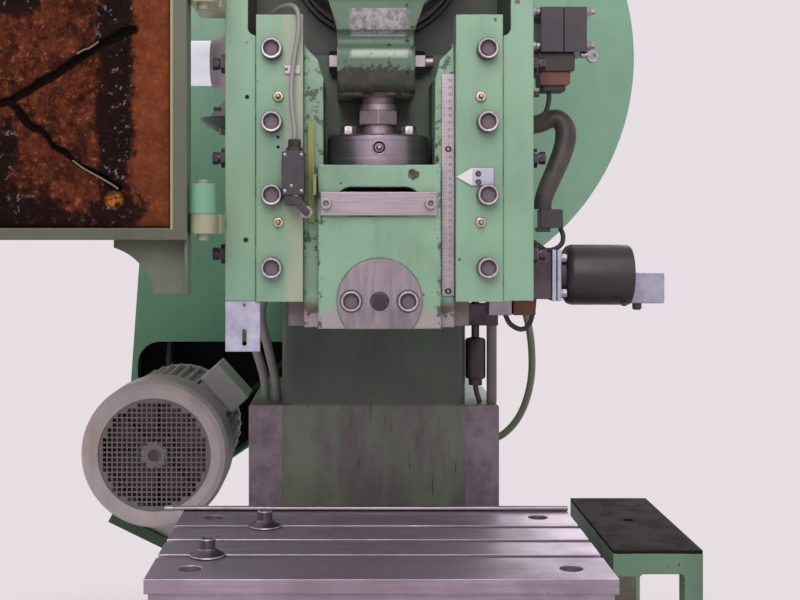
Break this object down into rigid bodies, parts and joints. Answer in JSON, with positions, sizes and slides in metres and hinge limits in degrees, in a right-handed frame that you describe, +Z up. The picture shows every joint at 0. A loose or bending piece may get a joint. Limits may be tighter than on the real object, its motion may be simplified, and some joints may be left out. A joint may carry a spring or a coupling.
{
  "type": "mechanical stamping press",
  "caption": "Open-front eccentric press with guided ram, ball-jointed connecting rod, T-slotted bolster, belt guard, motor and hinged door.",
  "frame": {"origin": "centre of the four anchor holes on the floor plane", "axes": "+X to the right, +Y from the operator to the flywheel, +Z up"},
  "size_m": [1.3169, 1.219, 2.2239],
  "materials": {
    "green_paint": "satin, chipped at edges",
    "dark_green_paint": "satin, oily",
    "worn_green_paint": "worn",
    "guard_paint": "satin",
    "door_paint": "satin, dirty",
    "cream_paint": "satin",
    "grey_paint": "satin",
    "black_steel": "oiled black oxide",
    "zinc_steel": "zinc plated",
    "bright_steel": "ground",
    "machined_steel": "machined, oily",
    "scale_steel": "satin",
    "zinc_sheet": "galvanised",
    "bright_aluminium": "satin",
    "cast_iron": "dark",
    "bronze": "machined",
    "belt_rubber": "matt",
    "black_rubber": "matt",
    "grey_cable": "matt",
    "black_plastic": "satin",
    "white_plastic": "gloss",
    "oiled_foam": "oil-soaked foam"
  },
  "bodies": {
    "frame": {"frame": "green_paint", "gib_plate_left": "green_paint", "gib_plate_right": "green_paint", "gib_screws": "black_steel", "gib_adjusters": "black_steel", "wear_strips": "bronze", "grease_nipples": "zinc_steel", "bolster": "machined_steel", "bolster_screws": "black_steel", "t_bolts": "black_steel", "blow_off_tube": "bright_steel", "feed_console": "green_paint", "console_plate": "machined_steel", "shaft_bushes": "bronze", "scale_pointer": "bright_aluminium", "switch_body": "black_plastic", "switch_cable": "grey_cable", "cable_clip": "zinc_steel", "belt_guard": "guard_paint", "guard_brackets": "guard_paint", "v_belts": "belt_rubber", "motor_body": "grey_paint", "motor_cowl": "grey_paint", "terminal_box": "grey_paint", "motor_plate": "dark_green_paint", "valve_block": "black_plastic", "valve_studs": "zinc_steel", "silencer": "black_steel", "hose_elbow": "black_rubber", "cam_switch": "black_plastic", "cam_switch_mount": "machined_steel", "door_hinges": "cream_paint", "oil_reservoir": "white_plastic", "side_plate": "zinc_sheet", "conduits": "grey_paint"},
    "ram": {"ram": "green_paint", "ball_cup": "bronze", "ball_retainer": "machined_steel", "retainer_bolts": "zinc_steel", "slot_plate": "bright_steel", "shank_clamp": "machined_steel", "shank_clamp_screws": "black_steel", "shank_set_screw": "machined_steel", "stroke_scale": "scale_steel", "trip_cam": "worn_green_paint"},
    "con_rod": {"con_rod": "worn_green_paint", "con_rod_bush": "bronze", "clamp_bolt": "bright_steel"},
    "ball_screw": {"ball_screw": "bright_steel"},
    "eccentric": {"eccentric": "dark_green_paint"},
    "crankshaft": {"crankshaft": "machined_steel", "clutch_brake": "cast_iron"},
    "flywheel": {"flywheel": "cast_iron", "flywheel_bush": "bronze"},
    "motor_rotor": {"motor_rotor": "machined_steel"},
    "knockout_bar": {"knockout_bar": "machined_steel"},
    "switch_lever": {"switch_lever": "zinc_steel"},
    "switch_roller": {"switch_roller": "black_steel"},
    "door": {"guard_door": "door_paint", "door_lining": "oiled_foam"}
  },
  "joints": [
    {"name": "ram_slide", "type": "slide", "parent": "frame", "child": "ram", "axis": [0, 0, -1], "range_m": [0, 0.06]},
    {"name": "conrod_swing", "type": "hinge", "parent": "ram", "child": "con_rod", "pos_m": [0, -0.265, 1.416], "axis": [0, 1, 0], "range_deg": [-4.6, 4.6]},
    {"name": "height_screw_turn", "type": "hinge", "parent": "con_rod", "child": "ball_screw", "pos_m": [0, -0.265, 1.416], "axis": [0, 0, 1], "range_deg": [-180, 180]},
    {"name": "crank_turn", "type": "hinge", "parent": "frame", "child": "crankshaft", "pos_m": [0, -0.265, 1.74], "axis": [0, 1, 0], "continuous": true},
    {"name": "eccentric_turn", "type": "hinge", "parent": "con_rod", "child": "eccentric", "pos_m": [0, -0.265, 1.77], "axis": [0, 1, 0], "continuous": true},
    {"name": "flywheel_spin", "type": "hinge", "parent": "frame", "child": "flywheel", "pos_m": [0, -0.265, 1.74], "axis": [0, 1, 0], "continuous": true},
    {"name": "motor_spin", "type": "hinge", "parent": "frame", "child": "motor_rotor", "pos_m": [-0.397, -0.265, 0.903], "axis": [0, 1, 0], "continuous": true},
    {"name": "knockout_lift", "type": "slide", "parent": "ram", "child": "knockout_bar", "axis": [0, 0, 1], "range_m": [0, 0.014]},
    {"name": "switch_lever_swing", "type": "hinge", "parent": "frame", "child": "switch_lever", "pos_m": [-0.116, -0.401, 1.353], "axis": [0, 1, 0], "range_deg": [0, 40], "stiffness_Nm_per_rad": 0.3, "springref_deg": -11.46},
    {"name": "switch_roller_spin", "type": "hinge", "parent": "switch_lever", "child": "switch_roller", "pos_m": [-0.102, -0.394, 1.337], "axis": [0, 1, 0], "continuous": true},
    {"name": "door_swing", "type": "hinge", "parent": "frame", "child": "door", "pos_m": [-0.24, -0.435, 1.334], "axis": [0, 0, 1], "range_deg": [0, 180]}
  ],
  "couplings": [
    {"joint": "eccentric_turn", "follows": "crank_turn", "ratio": 1},
    {"joint": "motor_spin", "follows": "flywheel_spin", "ratio": 6.6129}
  ]
}
